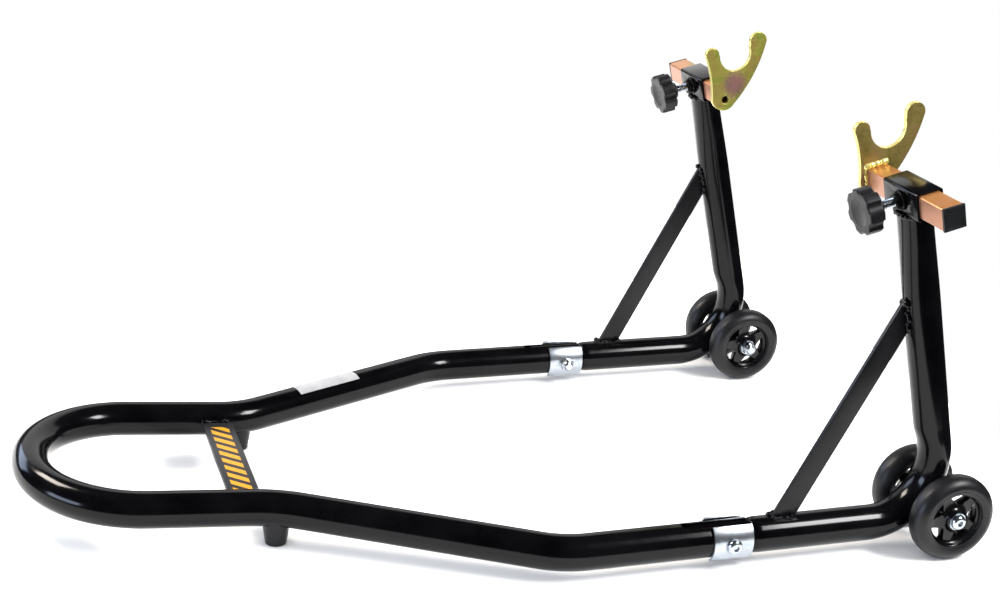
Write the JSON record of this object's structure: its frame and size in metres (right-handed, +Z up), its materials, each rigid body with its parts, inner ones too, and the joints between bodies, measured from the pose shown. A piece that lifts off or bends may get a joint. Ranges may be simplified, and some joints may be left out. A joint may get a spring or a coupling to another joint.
{
  "type": "paddock stand",
  "caption": "Low rear-wheel lifting stand: U-shaped handle, two leaning uprights on paired wheels, and sliding hook arms clamped by lobed knobs.",
  "frame": {"origin": "on the floor, at the middle of the stand's length and width", "axes": "+X from the handle towards the wheels, +Y to the left, +Z up"},
  "size_m": [0.833, 0.54, 0.3957],
  "materials": {
    "black_powder_coat": "gloss black powder coat",
    "black_zinc": "black painted nut",
    "bright_zinc": "bright zinc plate",
    "yellow_zinc": "yellow chromate over zinc",
    "foot_rubber": "matt",
    "tyre_rubber": "satin",
    "core_plastic": "satin moulded",
    "bush_nylon": "satin",
    "knob_plastic": "fine grain",
    "cap_plastic": "satin",
    "label_film": "pale satin film"
  },
  "bodies": {
    "frame": {"rear_tube_left": "black_powder_coat", "rear_tube_right": "black_powder_coat", "handle_tube": "black_powder_coat", "handle_cross_plate": "black_powder_coat", "cross_plate_welds": "black_powder_coat", "foot_left": "foot_rubber", "foot_right": "foot_rubber", "foot_screws": "bright_zinc", "blank_label": "label_film", "joint_saddle_outer_left": "bright_zinc", "joint_saddle_outer_right": "bright_zinc", "joint_saddle_inner_left": "bright_zinc", "joint_saddle_inner_right": "bright_zinc", "joint_bolts": "bright_zinc", "joint_lock_nuts": "bright_zinc", "brace_left": "black_powder_coat", "brace_right": "black_powder_coat", "brace_welds": "black_powder_coat", "axle_tube_left": "black_powder_coat", "axle_tube_right": "black_powder_coat", "axle_tube_welds": "black_powder_coat", "axle_washers": "bright_zinc", "axle_bolts": "bright_zinc", "axle_lock_nuts": "bright_zinc", "sleeve_left": "black_powder_coat", "sleeve_right": "black_powder_coat", "sleeve_nuts": "black_zinc", "sleeve_welds": "black_powder_coat"},
    "wheel_outer_left": {"tyre_outer_left": "tyre_rubber", "wheel_core_outer_left": "core_plastic", "wheel_bush_outer_left": "bush_nylon"},
    "wheel_inner_left": {"tyre_inner_left": "tyre_rubber", "wheel_core_inner_left": "core_plastic", "wheel_bush_inner_left": "bush_nylon"},
    "slide_left": {"slide_bar_left": "yellow_zinc", "bar_end_cap_left": "cap_plastic", "hook_plate_left": "yellow_zinc", "hook_weld_left": "yellow_zinc"},
    "stud_left": {"clamp_stud_left": "bright_zinc"},
    "knob_left": {"clamp_knob_left": "knob_plastic"},
    "wheel_outer_right": {"tyre_outer_right": "tyre_rubber", "wheel_core_outer_right": "core_plastic", "wheel_bush_outer_right": "bush_nylon"},
    "wheel_inner_right": {"tyre_inner_right": "tyre_rubber", "wheel_core_inner_right": "core_plastic", "wheel_bush_inner_right": "bush_nylon"},
    "slide_right": {"slide_bar_right": "yellow_zinc", "bar_end_cap_right": "cap_plastic", "hook_plate_right": "yellow_zinc", "hook_weld_right": "yellow_zinc"},
    "stud_right": {"clamp_stud_right": "bright_zinc"},
    "knob_right": {"clamp_knob_right": "knob_plastic"}
  },
  "joints": [
    {"name": "wheel_outer_left_spin", "type": "hinge", "parent": "frame", "child": "wheel_outer_left", "pos_m": [0.37652, 0.24, 0.04], "axis": [0, 1, 0], "continuous": true},
    {"name": "wheel_inner_left_spin", "type": "hinge", "parent": "frame", "child": "wheel_inner_left", "pos_m": [0.37652, 0.176, 0.04], "axis": [0, 1, 0], "continuous": true},
    {"name": "bar_left_slide", "type": "slide", "parent": "frame", "child": "slide_left", "axis": [0, 1, 0], "range_m": [-0.036, 0.027]},
    {"name": "stud_left_travel", "type": "slide", "parent": "frame", "child": "stud_left", "axis": [-0.9677, 0, -0.2521], "range_m": [0, 0.0075]},
    {"name": "knob_left_turn", "type": "hinge", "parent": "stud_left", "child": "knob_left", "pos_m": [0.27797, 0.208, 0.32243], "axis": [-0.9677, 0, -0.2521], "range_deg": [0, 2161]},
    {"name": "wheel_outer_right_spin", "type": "hinge", "parent": "frame", "child": "wheel_outer_right", "pos_m": [0.37652, -0.24, 0.04], "axis": [0, 1, 0], "continuous": true},
    {"name": "wheel_inner_right_spin", "type": "hinge", "parent": "frame", "child": "wheel_inner_right", "pos_m": [0.37652, -0.176, 0.04], "axis": [0, 1, 0], "continuous": true},
    {"name": "bar_right_slide", "type": "slide", "parent": "frame", "child": "slide_right", "axis": [0, -1, 0], "range_m": [-0.036, 0.027]},
    {"name": "stud_right_travel", "type": "slide", "parent": "frame", "child": "stud_right", "axis": [-0.9677, 0, -0.2521], "range_m": [0, 0.0075]},
    {"name": "knob_right_turn", "type": "hinge", "parent": "stud_right", "child": "knob_right", "pos_m": [0.27797, -0.208, 0.32243], "axis": [-0.9677, 0, -0.2521], "range_deg": [0, 2161]}
  ],
  "couplings": [
    {"joint": "knob_left_turn", "follows": "stud_left_travel", "rad_per_m": 5026.5},
    {"joint": "knob_right_turn", "follows": "stud_right_travel", "rad_per_m": 5026.5}
  ]
}
